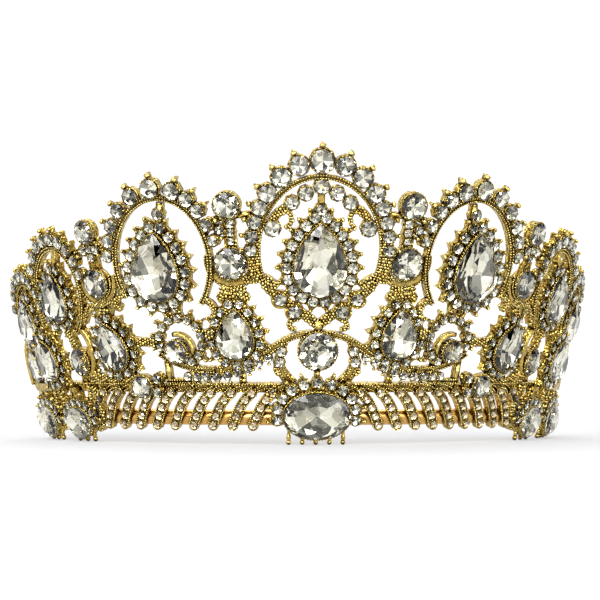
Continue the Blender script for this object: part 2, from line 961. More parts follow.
class Smithy:
    """Models the small pieces of metal that repeat over the crown.

    pin has a row of rise and change of width for each step of a prong, from its root to its ball. A cup
    has a lip that is lip_h high and lip_w wide, and a well of depth well. A dome stands on a foot.
    """

    pin_r: float = 0.46
    cup_r: float = 1.2
    lip_h: float = 0.1
    lip_part: float = 0.94
    lip_w: float = 0.12
    well: float = 0.55
    foot: float = 0.12
    pin: tuple = ((0.3, 0.8), (0.25, 0.8), (0.16, 2.3), (0.28, 1.38), (0.38, 1.0), (0.28, 0.72), (0.14, 0.5))

    @property
    def pin_length(self) -> float:
        """How long a prong is."""
        return sum(rise for rise, _ in self.pin)

    def bead(self) -> Master:
        """A ball of radius 1.

        Returns:
            The ball.
        """
        bpy.ops.object.select_all(action="DESELECT")
        bpy.ops.mesh.primitive_uv_sphere_add(segments=7, ring_count=4, radius=1.0)
        return Master.taken(bpy.context.object, BEAD)

    def prong(self) -> Master:
        """A pin along +y, thick at its root, with a ball on its end and a notch behind the ball.

        Returns:
            The prong.
        """
        bpy.ops.object.select_all(action="DESELECT")
        bpy.ops.mesh.primitive_circle_add(vertices=7, radius=self.pin_r, fill_type="NGON")
        pin = bpy.context.object
        with editing(pin):
            bpy.ops.mesh.select_all(action="SELECT")
            for rise, scale in self.pin:
                bpy.ops.mesh.extrude_region_move(TRANSFORM_OT_translate={"value": (0.0, 0.0, rise)})
                bpy.ops.transform.resize(value=(scale, scale, 1.0))
            bpy.ops.mesh.select_all(action="SELECT")
            bpy.ops.mesh.normals_make_consistent(inside=False)
        master = Master.taken(pin, BEAD)
        x, y, z = master.points.T
        master.points = np.stack([x, z, -y], axis=1)
        return master

    def cup(self) -> Master:
        """A round setting of inner radius 1, from z 0 to z 1, with a rolled lip.

        Returns:
            The cup.
        """
        bpy.ops.object.select_all(action="DESELECT")
        bpy.ops.mesh.primitive_cylinder_add(vertices=14, radius=self.cup_r, depth=1.0, location=(0, 0, 0.5))
        cup = bpy.context.object
        pick(cup, "FACE", lambda face: face.normal.z > 0.9)
        with editing(cup):
            bpy.ops.mesh.extrude_region_move(TRANSFORM_OT_translate={"value": (0.0, 0.0, self.lip_h)})
            bpy.ops.transform.resize(value=(self.lip_part, self.lip_part, 1.0))
            bpy.ops.mesh.inset(thickness=self.lip_w)
            bpy.ops.mesh.extrude_region_move(TRANSFORM_OT_translate={"value": (0.0, 0.0, -self.well)})
        return Master.taken(cup)

    def domed(self, strips: Sequence[Strip], height: float, base: float, closed: bool = False) -> Master:
        """Strips with a domed face, swept along their paths.

        Args:
            strips: The strips.
            height: Height of the dome, as a part of the width.
            base: Height that the strips lie at.
            closed: Whether the paths close on themselves.

        Returns:
            All the strips in one mesh.
        """
        profile, curve = self._flat_curve(), self._flat_curve()
        dome = self._dome(height)
        self._polyline(profile.data, dome, np.ones(len(dome)), True)
        for strip in strips:
            widths = np.linspace(strip.w, strip.w_end, len(strip.path))
            self._polyline(curve.data, strip.path, widths, closed)
        curve.data.bevel_mode = "OBJECT"
        curve.data.bevel_object = profile
        curve.data.use_fill_caps = not closed
        only(curve)
        bpy.ops.object.convert(target="MESH")
        obj = bpy.context.object
        with editing(obj):
            bpy.ops.mesh.select_all(action="SELECT")
            bpy.ops.mesh.remove_doubles(threshold=0.0001)
            bpy.ops.mesh.normals_make_consistent(inside=False)
        bpy.data.objects.remove(profile)
        master = Master.taken(obj)
        master.points[:, 2] += base
        return master

    def _dome(self, height: float) -> np.ndarray:
        """The outline of a dome of width 1 on its foot."""
        arc = [(0.5 * math.cos(t), height * math.sin(t)) for t in np.linspace(0.0, math.pi, 7)]
        return np.array([*arc, (-0.5, -self.foot), (0.5, -self.foot)])

    @staticmethod
    def _flat_curve() -> bpy.types.Object:
        """A new flat curve with nothing in it.

        Returns:
            The curve's object.
        """
        bpy.ops.object.select_all(action="DESELECT")
        bpy.ops.curve.primitive_bezier_curve_add()
        curve = bpy.context.object
        curve.data.dimensions = "2D"
        curve.data.fill_mode = "NONE"
        curve.data.splines.clear()
        return curve

    @staticmethod
    def _polyline(data: bpy.types.Curve, path: np.ndarray, widths: np.ndarray, closed: bool) -> None:
        """Puts a line through points into a curve, with a radius at each point.

        Args:
            data: The curve.
            path: The line's points.
            widths: The radius at each point.
            closed: Whether the line comes back to its start.
        """
        spline = data.splines.new("POLY")
        spline.points.add(len(path) - 1)
        for point, (x, y), width in zip(spline.points, path, widths):
            point.co = (x, y, 0.0, 1.0)
            point.radius = width
        spline.use_cyclic_u = closed


@dataclass
class Bench:
    """The masters and finishes that every part of the crown is dressed with.

    golds are in the order of their slots. Each pair of foils has the bright one and the dark one.
    """

    bead: Master
    prong: Master
    cup: Master
    small: Master
    cuts: dict[Cut, Master]
    smithy: Smithy
    golds: list[bpy.types.Material]
    frame_gold: bpy.types.Material
    glass: bpy.types.Material
    foils: list[bpy.types.Material]
    warm_foils: list[bpy.types.Material]

    @classmethod
    def fitted(cls) -> "Bench":
        """Models the masters and mixes the finishes.

        Returns:
            The bench.
        """
        smithy, lapidary = Smithy(), Lapidary()
        foils = (
            StoneFoil("stone_foil"),
            StoneFoil("dark_foil", (0.36, 0.35, 0.31), (0.08, 0.08, 0.065)),
            StoneFoil("warm_foil", (1.0, 0.93, 0.78), (0.85, 0.72, 0.5)),
            StoneFoil("warm_dark_foil", (0.6, 0.46, 0.28), (0.3, 0.22, 0.12)),
        )
        foil, dark_foil, warm, dark_warm = (finish.material() for finish in foils)
        return cls(
            bead=smithy.bead(),
            prong=smithy.prong(),
            cup=smithy.cup(),
            small=lapidary.brilliant(True, lapidary.low_depth, lapidary.small_dark),
            cuts={
                Cut.ROUND: lapidary.brilliant(False, lapidary.depth, lapidary.round_dark),
                Cut.OVAL: lapidary.brilliant(False, lapidary.low_depth, lapidary.oval_dark),
                Cut.PEAR: lapidary.pear(),
            },
            smithy=smithy,
            golds=[gold.material() for gold in (GoldPlate("cast_gold"), BEAD_GOLD, SMOOTH_GOLD)],
            frame_gold=GoldPlate("frame_gold", tube=(0.07197, 0.00703, 0.002)).material(),
            glass=CrystalGlass("crystal_glass").material(),
            foils=[foil, dark_foil],
            warm_foils=[warm, dark_warm],
        )


def sized(matrix: np.ndarray, *scale: float) -> np.ndarray:
    """A place with a scale along each of its own axes, or with one scale for them all."""
    return matrix @ np.diag([*(scale * 3)[:3], 1.0])


# The castings


@dataclass(frozen=True)
class Setting:
    """How a small stone is held, by a cup, four grains round it and a prong beyond its edge.

    The cup's lip lies rise over the girdle. Cup and grains reach sink into what they stand on. The grains'
    middles are at grain_at half widths, and grain_r grows by grain_part of the half width. A prong has the
    size pin_part of the stone's width, but at least pin_least and at most 1. The cut stone is stone_part
    as wide as its seat, lies stone_rise higher, and is turned by stone_turn degrees for each millimetre
    of x, so that its neighbours differ. high_part, low_part and low_more say how high it is.
    """

    rise: float = 0.06
    sink: float = 0.05
    grain_at: float = 1.06
    grain_r: float = 0.14
    grain_part: float = 0.07
    pin_part: float = 0.24
    pin_least: float = 0.58
    stone_part: float = 1.05
    stone_rise: float = 0.07
    stone_turn: float = 47.0
    high_part: float = 0.49
    low_part: float = 0.4
    low_more: float = 0.35

    def grain(self, r: float) -> float:
        """The radius of the grains round a stone of half width r."""
        return self.grain_r + self.grain_part * r

    def pin(self, w: float) -> float:
        """The size of the prong by a stone of width w."""
        return min(1.0, max(self.pin_least, self.pin_part * w))

    def high(self, w: float) -> float:
        """The scale of a stone's height for its width w."""
        return min(self.high_part * w, self.low_part * w + self.low_more)


SETTING = Setting()


@dataclass
class Casting:
    """A flat casting of the crown: its strips, milgrain hoops, small stones and main stones.

    fields has the seats of each field of small stones by the field's name, and loose has the others. hoops
    has an oval and the angles between which it is drawn. bead_r is the radius of a milgrain bead, grain_r
    that of a grain on a scroll, and grain_change how much it changes. Their pitches and inset are in radii.
    cup_gap and well_gap are what they keep clear of round small and main stones. A rim lies rim_out outside
    its stone and rim_rise over the girdle, its milgrain lies lower and rim_bead_out further out, and the
    cut stone's girdle is main_rise over its node's. pin_z is the height of a prong's axis over the plate.
    feet has the x of each foot, and FOOT the height, radius and half length of a foot's beads.
    """

    FOOT = ((1.32, 0.72, 0.72), (2.6, 0.66, 1.2))
    DOMES = ((Work.PLAIN, HIGH_DOME, SMOOTH), (Work.BEADED, LOW_DOME, SMOOTH), (Work.GRAINED, LOW_DOME, CAST))

    name: str
    angle: float
    mains: list[MainStone] = field(default_factory=list)
    strips: list[Strip] = field(default_factory=list)
    hoops: list[tuple[Oval, float, float]] = field(default_factory=list)
    fields: dict[str, list[Seat]] = field(default_factory=dict)
    loose: list[Seat] = field(default_factory=list)
    base: float = 0.0
    hoop_w: float = 1.3
    bead_r: float = 0.33
    bead_pitch: float = 2.15
    bead_inset: float = 0.75
    bead_z: float = 0.26
    grain_r: float = 0.44
    grain_pitch: float = 1.75
    grain_row: float = 1.8
    grain_change: float = 0.28
    cup_gap: float = 0.3
    well_gap: float = 0.7
    rim_out: float = 0.44
    rim_w: float = 0.3
    rim_rise: float = 0.12
    rim_dome: float = 0.42
    rim_bead_r: float = 0.2
    rim_bead_out: float = 0.22
    rim_pitch: float = 0.75
    main_rise: float = 0.2
    pin_z: float = 0.1
    feet: list[float] = field(default_factory=list)

    @cached_property
    def cups(self) -> np.ndarray:
        """The middle of each small stone's cup, with the distance that grains keep from it."""
        rows = [(seat.x, seat.y, seat.w / 2 + self.cup_gap) for seat in self.seats()]
        return np.array(rows or [(0, 0, 0)])

    @cached_property
    def wells(self) -> list[np.ndarray]:
        """The outlines round the main stones that grains stay outside of."""
        return [main.outline(self.well_gap) for main in self.mains]

    def place(self, x: float, y: float, z: float, turn: float = 0.0) -> np.ndarray:
        """A place on this casting."""
        return WALL.place(self.angle, x, y, z + self.base, turn)

    def ball(self, bench: Bench, piece: Piece, spot: Sequence[float], r: float) -> None:
        """Adds a bead to a piece of metal."""
        piece.add(bench.bead, sized(self.place(*spot), r))

    def relief(self, bench: Bench, piece: Piece) -> None:
        """Domes the strips and hoops, and works their faces.

        Args:
            bench: The masters.
            piece: The piece that takes the metal.
        """
        strips = list(self.strips)
        for oval, start, end in self.hoops:
            n = max(24, int(abs(end - start) / 6))
            strips.append(Strip(oval.arc(start, end, n), self.hoop_w, self.hoop_w, Work.BEADED))
        for work, height, slot in self.DOMES:
            group = [strip for strip in strips if strip.work is work]
            if group:
                dome = bench.smithy.domed(group, height, PLATE_TOP - 0.02)
                dome.slots = [slot] * len(dome.faces)
                piece.add(dome, self.place(0.0, 0.0, 0.0))
        for strip in strips:
            if strip.work is Work.GRAINED:
                self._grains(bench, piece, strip)
            elif strip.work is Work.BEADED:
                self._milgrain(bench, piece, strip)

    def _grains(self, bench: Bench, piece: Piece, strip: Strip) -> None:
        """Lays rows of grains across a strip, clear of the stones.

        Args:
            bench: The masters and finishes.
            piece: The piece that takes the metal.
            strip: The strip.
        """
        spots = walk(strip.path, self.grain_pitch * self.grain_r, 0.3)
        for i, (p, way) in enumerate(spots):
            w = strip.w + (strip.w_end - strip.w) * i / max(1, len(spots) - 1)
            across = np.array([-way[1], way[0]])
            n = max(2, round(w / (self.grain_row * self.grain_r)))
            for k in range(n):
                u = (k + 0.5 + 0.25 * (-1) ** i) / n - 0.5
                spot = p + u * w * across
                if self._free(spot):
                    rise = LOW_DOME * w * math.sqrt(max(0.0, 1 - 4 * u * u))
                    r = self.grain_r * (1.0 + self.grain_change * math.sin(7.3 * i + 3.1 * k))
                    self.ball(bench, piece, (*spot, PLATE_TOP + rise), r)

    def _milgrain(self, bench: Bench, piece: Piece, strip: Strip) -> None:
        """Lays a row of beads along both edges of a strip, clear of the stones.

        Args:
            bench: The masters and finishes.
            piece: The piece that takes the metal.
            strip: The strip.
        """
        out = strip.w / 2 - self.bead_inset * self.bead_r
        for edge in beside(strip.path, out, self.bead_pitch * self.bead_r):
            if self._free(edge):
                self.ball(bench, piece, (*edge, PLATE_TOP + self.bead_z), self.bead_r)

    def seats(self) -> list[Seat]:
        """The seats of all its small stones."""
        halos = [seat for main in self.mains for seat in main.halo()]
        return [seat for row in self.fields.values() for seat in row] + self.loose + halos

    def _free(self, p: np.ndarray) -> bool:
        """Whether a grain at p is clear of the stones."""
        away = np.hypot(self.cups[:, 0] - p[0], self.cups[:, 1] - p[1])
        return bool((away > self.cups[:, 2]).all()) and not any(holds(well, p) for well in self.wells)

    def settings(self, bench: Bench, piece: Piece) -> None:
        """Adds the cups, grains and prongs of the small stones, the rims of the main stones and the feet.

        Args:
            bench: The masters and finishes.
            piece: The piece that takes the metal.
        """
        for seat in self.seats():
            self._setting(bench, piece, seat)
        for main in self.mains:
            self._rim(bench, piece, main)
        for x in self.feet:
            for y, r, long in self.FOOT:
                piece.add(bench.bead, sized(self.place(x, y, 0.0), r, long, r))

    def _setting(self, bench: Bench, piece: Piece, seat: Seat) -> None:
        """A small stone's cup, four grains that hold it, and its prong.

        Args:
            bench: The masters and finishes.
            piece: The piece that takes the metal.
            seat: The stone's seat.
        """
        r = seat.w / 2
        rise = seat.girdle + SETTING.rise
        piece.add(bench.cup, sized(self.place(seat.x, seat.y, PLATE_TOP - SETTING.sink), r, r, rise))
        for k in range(4):
            turn = 45.0 + 90.0 * k - (seat.out or 0.0)
            spot = turned((SETTING.grain_at * r, 0.0), turn) + (seat.x, seat.y)
            self.ball(bench, piece, (*spot, PLATE_TOP + rise + SETTING.sink), SETTING.grain(r))
        if seat.out is not None:
            size = SETTING.pin(seat.w)
            start = r + seat.reach - size * bench.smithy.pin_length
            root = turned((0.0, start), -seat.out) + (seat.x, seat.y)
            piece.add(bench.prong, sized(self.place(*root, PLATE_TOP + self.pin_z, -seat.out), size))

    def _rim(self, bench: Bench, piece: Piece, main: MainStone) -> None:
        """The thin rolled rim of a main stone's cup, with a row of milgrain below it.

        Args:
            bench: The masters and finishes.
            piece: The piece that takes the metal.
            main: The main stone.
        """
        rim = Strip(main.outline(self.rim_out), self.rim_w, self.rim_w, Work.PLAIN)
        top = main.girdle + self.rim_rise
        piece.add(bench.smithy.domed([rim], self.rim_dome, top, closed=True), self.place(0.0, 0.0, 0.0))
        middle = np.array([main.x, main.y])
        for p, _ in walk(looped(rim.path), self.rim_pitch)[:-1]:
            edge = p + self.rim_bead_out * (p - middle) / np.linalg.norm(p - middle)
            self.ball(bench, piece, (*edge, top - self.rim_bead_r), self.rim_bead_r)

    def stone(self, bench: Bench, main: MainStone, half: Half, side: str) -> None:
        """Makes a main stone, which stands for its node.

        Args:
            bench: The masters and finishes.
            main: The stone.
            half: The half that it stands on.
            side: What the name of its node ends in.
        """
        piece = Piece(f"cut_{main.name}{side}", False, half)
        place = self.place(main.x, main.y, main.girdle + self.main_rise, main.tilt)
        w, h = main.w + SPREAD, main.h + SPREAD
        high = h / 2.8 if main.cut is Cut.PEAR else h / 2
        piece.add(bench.cuts[main.cut], sized(place, w / 2, high, min(w, h) / 2))
        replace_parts(piece.made("crystal", [bench.glass, *bench.foils]), f"{main.name}{side}")

    def small_stones(self, bench: Bench, piece: Piece, seats: Iterable[Seat]) -> None:
        """Adds small stones at their seats.

        Args:
            bench: The masters and finishes.
            piece: The piece that takes the stones.
            seats: The seats.
        """
        for seat in seats:
            z = PLATE_TOP + seat.girdle + SETTING.stone_rise
            spot = self.place(seat.x, seat.y, z, SETTING.stone_turn * seat.x)
            r = SETTING.stone_part * seat.w / 2
            piece.add(bench.small, sized(spot, r, r, SETTING.high(seat.w)))


# Where the castings stand, in degrees round the ring from the front, and the height of the base's rail
CENTRE_A, POST_A, ARCH_A, RAIL_ROUND_A, SIDE_POST_A = 0.0, 15.4, 28.5, 34.8, 43.0
SIDE_ARCH_A, LEANING_A, REAR_OVAL_A, REAR_ARCH_A, END_A = 54.2, 60.2, 66.6, 67.4, 72.6
RAIL_Y = 15.6


def both_ways(seats: Iterable[Seat]) -> list[Seat]:
    """Seats and their mirror images about the casting's middle."""
    rows = list(seats)
    return rows + [Seat(-s.x, s.y, s.w, None if s.out is None else -s.out) for s in rows if abs(s.x) > 0.01]


def mirrored_strips(strips: Iterable[Strip]) -> list[Strip]:
    """Strips and their mirror images about the casting's middle."""
    rows = list(strips)
    return rows + [Strip(s.path * (-1.0, 1.0), s.w, s.w_end, s.work) for s in rows]


def centre_casting() -> list[Casting]:
    """The tall middle casting, and the base oval in front of the tube.

    Returns:
        The castings.
    """
    pear = MainStone("centre_pear", Cut.PEAR, 0, 49.4, 13, 18.4, 0, 20, 2.6, halo_field="pear_halo_centre")
    ball = MainStone("centre_round", Cut.ROUND, 0, 25.5, 9.2, 9.2)
    oval = MainStone("base_oval", Cut.OVAL, 0, 8.9, 16.8, 11.8)
    hoop = Oval(0, 52, 15.8, 18.7)
    rows = [(0, 5.8), (19.5, 4.8), (36, 4.8), (51, 4.5), (62.5, 3.7), (72.5, 3.3), (82, 3), (91, 2.8)]
    stones = Oval(0, 52, 17.6, 22.9).seats(rows)
    inner = [(0, 68.2, 3.6), (0, 62.2, 2.8), (4, 66.4, 3.4), (7.4, 64, 3.2), (12.2, 57.4, 3.8)]
    scroll = [(9.8, 38.8, 3), (6.1, 35.6, 3.2), (9.3, 25.2, 2.4), (9.7, 22.3, 2.4)]
    side = [
        Strip.curved([(8.4, 62.8), (10.6, 61.8), (12.2, 60.4), (12.6, 58)], 2.2),
        Strip.curved([(8.8, 62.4), (6.8, 60.8), (7, 58.2), (9, 57.4)], 1.2, 0.9),
        Strip.curved([(14, 43.6), (12.6, 40), (6, 37.2), (0, 32)], 2.4),
        Strip.curved([(5.2, 34), (8, 33.4), (8.2, 30.6), (5.6, 31)], 1.4, 1),
        Strip.curved([(1.5, 29.8), (6.5, 29.8), (9.6, 27.6), (13.4, 24.4)], 1.6, work=Work.BEADED),
        Strip.curved([(8.4, 27.6), (10.6, 23.6), (10.4, 20.4), (6.2, 16.4)], 1.8, 2.6, Work.BEADED),
        Strip.curved([(10, 23), (10.8, 21.4), (11, 19.6), (9.8, 19)], 1.2, 0.9),
        Strip(Oval(0, 52, 17, 19.8).arc(74, 116, 9), 3.4, 2.6),
    ]
    middle = [
        Strip.straight((0, 72), (0, 60), 1.5),
        Strip.straight((0, 33.4), (0, 29.8), 2.2),
        Strip.straight((0, 20.6), (0, 14), 1.5),
    ]
    main = Casting(
        "centre",
        CENTRE_A,
        [pear, ball],
        mirrored_strips(side) + middle,
        [(hoop, -117, 117)],
        {
            "hoop_stones_centre": both_ways(stones + [Seat(*row) for row in inner]),
            "scroll_stones_centre": both_ways([Seat(*row) for row in scroll]),
        },
    )
    halo = Oval(0, 8.9, 10.2, 8.5).seats([(-100 + 20 * i, 2.5) for i in range(11)])
    feet = [-7, -3.5, 0, 3.5, 7]
    base = Casting("centre_base", CENTRE_A, [oval], [], [], {"base_halo_stones": halo}, base=LIFT, feet=feet)
    return [main, base]


def front_post() -> list[Casting]:
    """The post between the middle and the front arch.

    Returns:
        The castings.
    """
    pear = MainStone("front_post_pear", Cut.PEAR, 0, 29.9, 8.8, 12.6, 0, 15, 2.1)
    top = MainStone("front_post_top", Cut.ROUND, 0.3, 63.5, 6.2, 6.2)
    big = MainStone("front_post_round", Cut.ROUND, 0, 48.5, 7.6, 7.6)
    stones = [Seat(-0.3, 58.7, 2.2), Seat(-0.3, 56.4, 2), Seat(-0.3, 54.15, 1.8), Seat(2.6, 57.2, 2.2)]
    strips = [
        Strip.straight((-7, 61.2), (-1, 60.6), 1.5),
        Strip.curved([(0.5, 60.2), (3, 60.8), (4.8, 59.4), (6.6, 56)], 1.8),
        Strip(Oval(0, 49.2, 6, 6.4).arc(80, 284, 18), 2.2, 2.2, Work.BEADED),
        Strip.curved([(-3, 43.6), (-6, 45), (-8.4, 45.4), (-11.4, 41.8)], 2.2),
        Strip.curved([(-9.4, 25.4), (-3.5, 22), (2.5, 19.8), (10, 20.2)], 1.6, work=Work.BEADED),
        Strip.curved([(-3.6, 39), (-1.6, 42.6), (1.6, 42.6), (3.6, 39)], 2.2),
        Strip.curved([(-3, 42.4), (-0.6, 38.6), (0.6, 38.6), (3, 42.4)], 1.8),
    ]
    swag = [(-8.2, 23.2), (-5.6, 21.8), (-2.9, 20.3), (-0.2, 19.1), (2.6, 18.3), (5.4, 18), (8.2, 18.2)]
    drops = [Seat(x, y + 0.5, 2.2, 184.0 + 4 * i, 1.1) for i, (x, y) in enumerate(swag)]
    strips.append(Strip(np.array(swag) + (0.0, 0.9), 1.4, 1.4, Work.PLAIN))
    return [Casting("front_post", POST_A, [pear, top, big], strips, [], {"post_stones": stones}, drops)]


def front_arch() -> list[Casting]:
    """The front arch with its big leaning pear and the swirl below.

    Returns:
        The castings.
    """
    pear = MainStone("front_arch_pear", Cut.PEAR, 1.2, 47.8, 12.4, 17.6, 5, 18, 2.6, halo_field="pear_halo")
    ball = MainStone("swirl_round", Cut.ROUND, -1.6, 25.2, 5.4, 5.4)
    hoop = Oval(-0.5, 49, 13.5, 16.6, 5)
    rows = [(-70, 2.6), (-57, 3), (-43, 3.4), (-29.5, 3.7), (-13.5, 4.3), (9, 4.8), (31, 4.1)]
    rows += [(49, 3.6), (64, 3.4), (77, 3.1), (89, 2.8)]
    stones = Oval(-0.5, 49, 15.6, 19.3, 5).seats(rows) + [Seat(-1, 61.5, 2.8)]
    ring = Oval(-3.1, 28, 6.1, 6.1)
    swirl = [Seat(*ring.point(105 - 26 * i), 2, 105 - 26 * i) for i in range(11)]
    strips = [
        Strip.straight((-1.8, 64.4), (-0.6, 57), 1.8),
        Strip.straight((2.4, 38), (-2, 33.4), 1.8, Work.GRAINED),
        Strip(Oval(-1.6, 25.2, 4.5, 4.5).arc(-100, 10, 10), 1.1, 1.1, Work.PLAIN),
        Strip.curved([(-11.5, 20.2), (-6, 20.2), (-1.5, 21.2), (3.4, 24.6)], 1.6, work=Work.BEADED),
        Strip.straight((-9.4, 29.8), (-12.6, 29.8), 2.2, Work.GRAINED),
        Strip.straight((3.6, 27.6), (9.6, 27.6), 2.2, Work.GRAINED),
        Strip.straight((-5.4, 20), (-5.4, RAIL_Y), 1.6),
        Strip.straight((-6.7, RAIL_Y + 1.6), (2, RAIL_Y + 1.6), 1.2, Work.BEADED),
        Strip.straight((1.6, 22), (1.6, RAIL_Y), 1.6),
    ]
    for s in (-1, 1):
        p = hoop.point(s * 124)
        strips.append(Strip.curved([p, p + (s * 2.6, -0.6), p + (s * 4, -3.6), p + (s * 1.6, -4.4)], 1.6, 1))
    fields = {"hoop_stones": stones, "post_stones": swirl}
    drops = [Seat(-9.4 + 2.7 * i, 18.4 + 0.04 * i * i, 2.1, 182.0, 1.1) for i in range(3)]
    return [Casting("front_arch", ARCH_A, [pear, ball], strips, [(hoop, -128, 128)], fields, drops)]


def rail_round() -> list[Casting]:
    """The round on the rail with its pair of small stones.

    Returns:
        The castings.
    """
    ball = MainStone("rail_round", Cut.ROUND, 0, 16.4, 5.2, 5.2)
    pair = [Seat(-4.7, 18.4, 2.4), Seat(-4.3, 14.8, 2.4)]
    return [Casting("rail_round", RAIL_ROUND_A, [ball], [], [], {"post_stones": pair}, base=LIFT)]


def side_post() -> list[Casting]:
    """The post between the two arches of a side.

    Returns:
        The castings.
    """
    top = MainStone("side_post_top", Cut.ROUND, 0.4, 57.4, 5.4, 5.4)
    big = MainStone("side_post_round", Cut.ROUND, -0.4, 43.6, 6.8, 6.8)
    pear = MainStone("side_post_pear", Cut.PEAR, -2, 26.6, 9, 12, -15, 14, 2.1)
    stones = [Seat(0, 52.8, 2), Seat(-0.2, 50.5, 2.1), Seat(-2.2, 52.6, 2.2), Seat(2.2, 52.4, 2.2)]
    strips = [
        Strip.curved([(-6.2, 51.6), (-3, 55), (3, 55), (6, 50)], 1.8),
        Strip(Oval(-0.4, 44.2, 5.6, 5.8).arc(80, 284, 18), 2.2, 2.2, Work.BEADED),
        Strip.straight((-0.4, 37.6), (-0.4, 33.6), 2.4, Work.GRAINED),
        Strip.curved([(-6.5, 36.6), (-5, 39.4), (5, 39.4), (7.5, 33)], 2),
        Strip.curved([(-8.6, 17.4), (-6, 18.6), (2, 15.8), (8.6, 18.6)], 3),
        Strip.curved([(4, 28), (8.4, 27), (8.6, 21), (5.4, 16.8)], 1.6, work=Work.PLAIN),
    ]
    return [Casting("side_post", SIDE_POST_A, [top, big, pear], strips, [], {"post_stones": stones})]


def small_oval_halo(x: float) -> list[Seat]:
    """The seats round a side oval."""
    return Oval(x, 6.2, 6.6, 5.6).seats([(-84 + 24 * i, 2) for i in range(8)])


def side_arch() -> list[Casting]:
    """The side arch, and the oval in front of the tube below it.

    Returns:
        The castings.
    """
    pear = MainStone("side_arch_pear", Cut.PEAR, 0.9, 40, 9, 12.6, 9, 14, 2.2)
    ball = MainStone("lower_round", Cut.ROUND, -4.2, 22.4, 6.6, 6.6)
    oval = MainStone("side_oval", Cut.OVAL, -0.4, 6.2, 10, 7.8)
    hoop = Oval(-0.3, 40.8, 9.6, 12.6, 10)
    rows = [(-62, 2.5), (-46, 2.7), (-30, 2.9), (-14, 3.1), (3, 3.3), (20, 3.3), (37, 3.1), (54, 2.9)]
    stones = Oval(-0.3, 40.8, 11.8, 15.2, 10).seats(rows + [(70, 2.7)])
    strips = [
        Strip.straight((-2.4, 53.6), (-0.6, 48), 1.8),
        Strip.straight((0.6, 33), (-2.6, 26), 2.2, Work.GRAINED),
        Strip.curved([(-6.4, 31), (-10, 28), (-10.4, 22), (-6, 18)], 1.8, work=Work.PLAIN),
        Strip.curved([(5, 30.6), (8.6, 28), (8.4, 24), (4.4, 21)], 1.8, work=Work.PLAIN),
        Strip.straight((-7, RAIL_Y), (8, RAIL_Y), 2, Work.BEADED),
    ]
    main = Casting(
        "side_arch", SIDE_ARCH_A, [pear, ball], strips, [(hoop, -140, 140)], {"side_hoop_stones": stones}
    )
    feet = [-3.8, -0.4, 3.0]
    base = Casting("side_base", SIDE_ARCH_A, [oval], loose=small_oval_halo(-0.4), base=LIFT, feet=feet)
    return [main, base]


def rear_end() -> list[Casting]:
    """The leaning pear, the rear oval, the rear arch and the plain end strap.

    Returns:
        The castings.
    """
    leaning = MainStone("leaning_pear", Cut.PEAR, 0, 23.4, 8.6, 10.4, -18, 13, 2)
    oval = MainStone("rear_oval", Cut.OVAL, 0, 6.2, 10, 7.8)
    pear = MainStone("rear_arch_pear", Cut.PEAR, 0.4, 33.4, 8.4, 11.4, 10, 13, 2.1)
    last = MainStone("rear_leaning_pear", Cut.PEAR, 2.6, 21.4, 6.8, 8.2, -14, 12, 1.8)
    hoop = Oval(-0.2, 33.6, 8.6, 10.6, 10)
    rows = [(-62, 2.4), (-44, 2.6), (-26, 2.8), (-8, 3), (10, 3), (28, 2.9), (46, 2.8), (64, 2.6), (82, 2.4)]
    stones = Oval(-0.2, 33.6, 10.4, 12.8, 10).seats(rows)
    strips = [
        Strip.straight((0.4, 28), (2.2, 25), 2, Work.GRAINED),
        Strip.curved([(-6.6, 29.4), (-9, 26), (-8, 20), (-5, 15.6)], 1.8, work=Work.PLAIN),
        Strip.curved([(6, 28.4), (10.6, 27), (12, 22), (11, RAIL_Y)], 1.8, work=Work.PLAIN),
    ]
    arch = Casting(
        "rear_arch",
        REAR_ARCH_A,
        [pear, last],
        strips,
        [(hoop, -180, 180)],
        {"side_hoop_stones": stones},
        pin_z=-0.36,
    )
    strap = [Strip.curved([(0, RAIL_Y - 0.4), (3.4, 20), (3, 27), (0.4, 30)], 2.4, 1.8, Work.PLAIN)]
    return [
        Casting("leaning", LEANING_A, [leaning], base=LIFT),
        Casting("rear_base", REAR_OVAL_A, [oval], loose=small_oval_halo(0.0), base=LIFT, feet=[-3.4, 0, 3.4]),
        arch,
        Casting("end", END_A, strips=strap),
    ]


